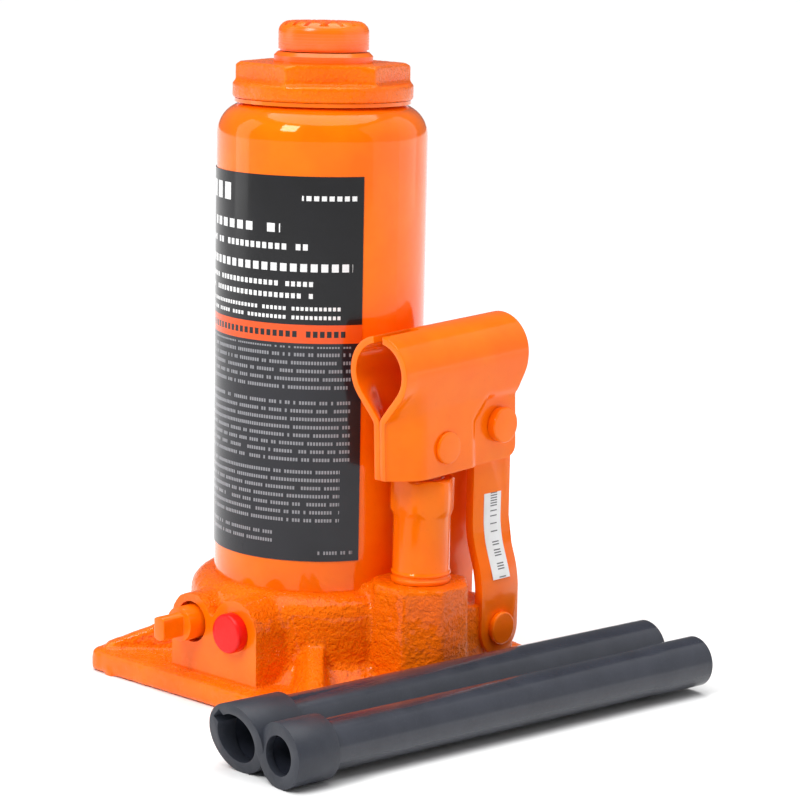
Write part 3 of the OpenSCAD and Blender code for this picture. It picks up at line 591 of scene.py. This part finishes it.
def make_top_nut():
    nut = rod("top_nut_casting", 29.2, 5.25, (0, 0, 194.15), sides=128)
    round_edges(nut, lambda e: not upright(e), 0.9, 3)
    hexagon = rod("hexagon", 28.4, 8.6, (0, 0, 198.8), "Z", 6, math.radians(20))
    crown = cone("crown", 44.0, 23.2, 12.0, (0, 0, 199.1))
    keep_within(hexagon, crown)
    skirt = rod("skirt", 26.0, 11.0, (0, 0, 188.0))
    gather(nut, hexagon, skirt)
    cast(nut, voxel=0.55, rounds=1, rough=0.16, grain=1.6)
    keep_within(nut, rod("flask", 40.0, 20.7, (0, 0, 192.85)))
    cut(nut, rod("ram_hole", 16.05, 60.0, (0, 0, 190.0)),
        rod("wiper_seat", 18.45, 3.0, (0, 0, 200.2)),
        rod("cylinder_socket", 22.05, 30.0, (0, 0, 178.5)))
    smooth(nut, 40)
    return fit(nut, nut_enamel, "jack_body", "cast_paint", "top_nut")


make_top_nut()


# ---------- handle socket ----------

def make_socket():
    """One sheet, rolled round the handle's end and folded down into two walls that meet at the front."""
    roll_z, roll_r = 25.5, 10.9
    front, rear = -21.5, 39.0
    foot = 8.9
    seam_half, wall_half = 1.15, 9.1
    put_down()
    bpy.ops.mesh.primitive_grid_add(x_subdivisions=110, y_subdivisions=72, size=1)
    sheet = named(bpy.context.object, "handle_socket_sheet")

    def half_width(y):
        """Half width of the folded walls, from the seam at the front to the parallel part."""
        share = min(1.0, max(0.0, (y - front - 2.6) / 10.0))
        return seam_half + (wall_half - seam_half) * math.sin(share * math.pi / 2)

    def section(w):
        """The sheet's middle line at one place, from the top of the roll down to a wall's foot."""
        drop = 15.3 if w < 8 else 15.3 - (w - 8) * 3.0
        far = math.hypot(w, drop)
        tangent = math.atan2(drop, w) - math.acos(min(1.0, roll_r / far))
        line = [(roll_r * math.sin(t), roll_z + roll_r * math.cos(t))
                for t in (i * (math.pi / 2 + tangent) / 30 for i in range(31))]
        line.append((w, roll_z - drop))
        line.append((w, -foot))
        return line

    def walk(line, share):
        """The point at a share of a line's length."""
        lengths = [math.dist(a, b) for a, b in zip(line, line[1:])]
        left = share * sum(lengths)
        for (a, b), length in zip(zip(line, line[1:]), lengths):
            if left <= length:
                t = left / length
                return a[0] + (b[0] - a[0]) * t, a[1] + (b[1] - a[1]) * t
            left -= length
        return line[-1]

    for v in sheet.data.vertices:
        u, s = v.co.x * 2, v.co.y + 0.5
        y = front + 1.1 + s * (rear - front - 2.2)
        side = -1 if u < 0 else 1
        x, z = walk(section(half_width(y)), abs(u))
        # the rear edge runs in below the roll, down to a rounded corner
        under = min(1.0, max(0.0, (22.0 - z) / 10.0))
        corner = min(4.0, max(0.0, 4.0 - (z + foot)))
        reach = 3.5 * under * under * (3 - 2 * under) + 4.0 - math.sqrt(16.0 - corner * corner)
        y -= reach * max(0.0, s - 0.5) * 2
        # the back of the walls is pressed in round the upper link pin
        if z < 16 and y > 8:
            border = min(y - 12.5, 0.9 * (14.0 - z) + max(0.0, 20.0 - y) * -0.9)
            x -= 1.1 * min(1.0, max(0.0, border / 1.3))
        v.co = Vector((side * x, y, z)) * MM
    modify(sheet, "SMOOTH", factor=0.5, iterations=3)
    modify(sheet, "SOLIDIFY", thickness=2.2 * MM, offset=0.0, use_even_offset=True)
    cut(sheet,
        block("slit", (3.8, 19.0, 20.0), (0, front + 7.5, roll_z + 10.0)),
        rod("slit_end", 1.9, 20.0, (0, front + 17.0, roll_z + 10.0), "Z", 32),
        rod("front_pin_hole", 4.4, 40.0, (0, 0, 0), "X", 48),
        rod("rear_pin_hole", 4.7, 40.0, (0, 26.16, 3.06), "X", 48))
    modify(sheet, "BEVEL", width=0.35 * MM, segments=2, limit_method="ANGLE", angle_limit=math.radians(50))
    sheet.rotation_euler = (math.radians(SOCKET_TILT), 0, 0)
    sheet.location = Vector((PUMP_X, 0, PLUNGER_PIN_Z)) * MM
    seat(sheet)
    smooth(sheet, 45)
    return fit(sheet, sheet_enamel, "socket", "sheet_paint", "handle_socket")


make_socket()


# ---------- pieces with broken edges ----------

for node, width, material, slot, body in (
    ("extension_screw", 0.5, screw_steel, "sheet_paint", "screw"),
    ("pump_cylinder", 0.35, sheet_enamel, "sheet_paint", "jack_body"),
    ("plunger_pin", 0.3, sheet_enamel, "sheet_paint", "socket"),
    ("link_upper_pin", 0.3, sheet_enamel, "sheet_paint", "link"),
    ("link_lower_pin", 0.3, sheet_enamel, "sheet_paint", "link"),
    ("link_plate_outer", 0.5, sheet_enamel, "sheet_paint", "link"),
    ("link_plate_inner", 0.5, sheet_enamel, "sheet_paint", "link"),
    ("release_valve", 1.0, sheet_enamel, "sheet_paint", "release_valve"),
    ("relief_cap", 0.3, red_cap, "red_plastic", "jack_body"),
    ("link_label", 0.03, sticker, "sticker_white", "link"),
    ("handle_keeper", 1.0, slate_moulding, "slate_plastic", "handle"),
):
    fit(softened(node, width), material, body, slot, node)


# ---------- finishes of the CAD pieces that show ----------

FINISHES = {
    smooth_enamel: ("reservoir", "upper_gasket"),
    ram_steel: ("ram",),
    plunger_steel: ("pump_plunger",),
    film: ("reservoir_label",),
    black_rubber: ("lower_gasket", "filler_plug", "ram_wiper", "piston_cup", "plunger_seal",
                   "release_valve_oring"),
    white_nylon: ("plunger_seal_backup",),
    red_copper: ("cylinder_gasket", "pump_washer"),
    turned_bronze: ("piston_bush",),
    steel: ("pressure_cylinder", "cup_washer", "piston_nut", "screw_stop_ring",
            "release_ball", "suction_ball", "delivery_ball", "relief_ball", "relief_cone", "relief_spring",
            "relief_adjuster"),
    slate_coat: ("handle_tube_large", "handle_tube_small"),
}
for material, names in FINISHES.items():
    for name in names:
        NODES[name].data.materials.clear()
        NODES[name].data.materials.append(material)


# ---------- camera, floor and light ----------

def place_camera():
    heading = math.radians(42.93)
    pitch = 0.178022741
    roll = 0.0190657
    forward = Vector((-math.sin(heading) * math.cos(pitch), math.cos(heading) * math.cos(pitch),
                      -math.sin(pitch)))
    level = Vector((math.cos(heading), math.sin(heading), 0))
    up = level.cross(forward)
    right = level * math.cos(roll) + up * math.sin(roll)
    up = right.cross(forward)
    put_down()
    bpy.ops.object.camera_add(location=(0.60088, -0.60674, 0.24655))
    camera = bpy.context.object
    camera.name = "camera"
    camera.rotation_euler = Matrix((right, up, -forward)).transposed().to_euler()
    camera.data.sensor_width = 36.0
    camera.data.lens = 118.46
    camera.data.clip_end = 20.0
    bpy.context.scene.camera = camera


def softbox(name, at, toward, size, power):
    put_down()
    bpy.ops.object.light_add(type="AREA", location=at)
    lamp = bpy.context.object
    lamp.name = name
    lamp.data.shape = "RECTANGLE"
    lamp.data.size, lamp.data.size_y = size
    lamp.data.energy = power
    lamp.rotation_euler = (Vector(toward) - Vector(at)).to_track_quat("-Z", "Y").to_euler()


def light_room():
    world = bpy.data.worlds.new("studio")
    world.use_nodes = True
    background = world.node_tree.nodes["Background"]
    background.inputs["Color"].default_value = (1.0, 1.0, 1.0, 1.0)
    background.inputs["Strength"].default_value = 0.16
    bpy.context.scene.world = world
    middle = (0, 0, 0.1)
    softbox("key", (0.06, -1.0, 0.95), middle, (0.35, 0.45), 9.5)
    softbox("right_wall", (0.78, 0.76, 0.55), middle, (1.7, 1.3), 4.6)
    softbox("left_wall", (-0.95, -0.75, 0.5), middle, (0.5, 1.2), 2.2)
    put_down()
    bpy.ops.object.light_add(type="SUN", location=(0, 0, 3), rotation=(0, 0, 0))
    overhead = bpy.context.object
    overhead.name = "overhead"
    overhead.data.energy = 3.1
    overhead.data.angle = math.radians(70)
    put_down()
    bpy.ops.mesh.primitive_plane_add(size=60, location=(0, 0, 0))
    floor = named(bpy.context.object, "floor")
    f = Finish("floor_white")
    f.set(Base_Color=f.mix(f.noise(400, 2), (0.87, 0.87, 0.87), (0.89, 0.89, 0.89)), Roughness=0.8,
          Specular_IOR_Level=0.0)
    floor.data.materials.append(f.material)


place_camera()
light_room()
bpy.context.scene.view_settings.view_transform = "Standard"
